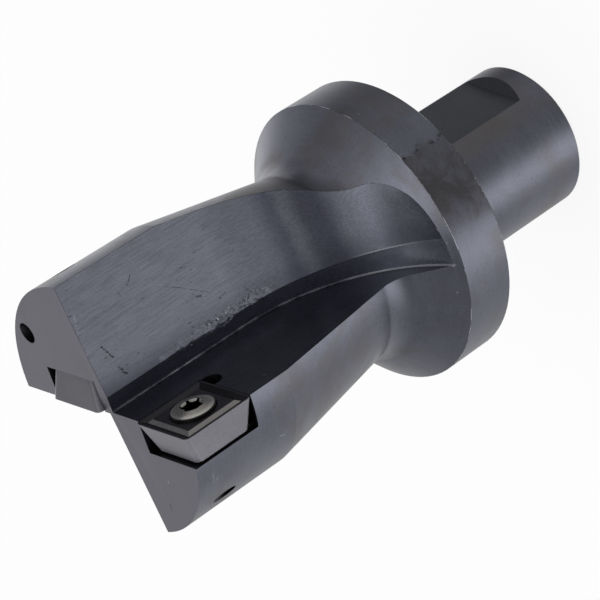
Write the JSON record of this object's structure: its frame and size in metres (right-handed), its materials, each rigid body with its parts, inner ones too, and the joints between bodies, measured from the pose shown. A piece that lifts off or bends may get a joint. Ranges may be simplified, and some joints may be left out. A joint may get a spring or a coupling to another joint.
{
  "type": "indexable drill",
  "caption": "Short indexable drill: a round shank with a clamping flat, a flange with a coned front, and a straight-fluted head with square cutting inserts held by screws.",
  "frame": {"origin": "centre of the shank's end face, on which the drill stands", "axes": "+Z along the drill's axis, from the shank to the tip; +X towards the outer insert, in the plane of its top"},
  "size_m": [0.0616, 0.0616, 0.1171],
  "materials": {
    "blackened_steel": "blackened turned and milled steel, satin",
    "coated_carbide": "coated carbide, dark top and grey ground flanks",
    "bright_steel": "bright steel, satin"
  },
  "bodies": {
    "root": {"drill_body": "blackened_steel", "outer_insert": "coated_carbide", "inner_insert": "coated_carbide", "outer_screw": "bright_steel", "inner_screw": "bright_steel"}
  },
  "joints": []
}
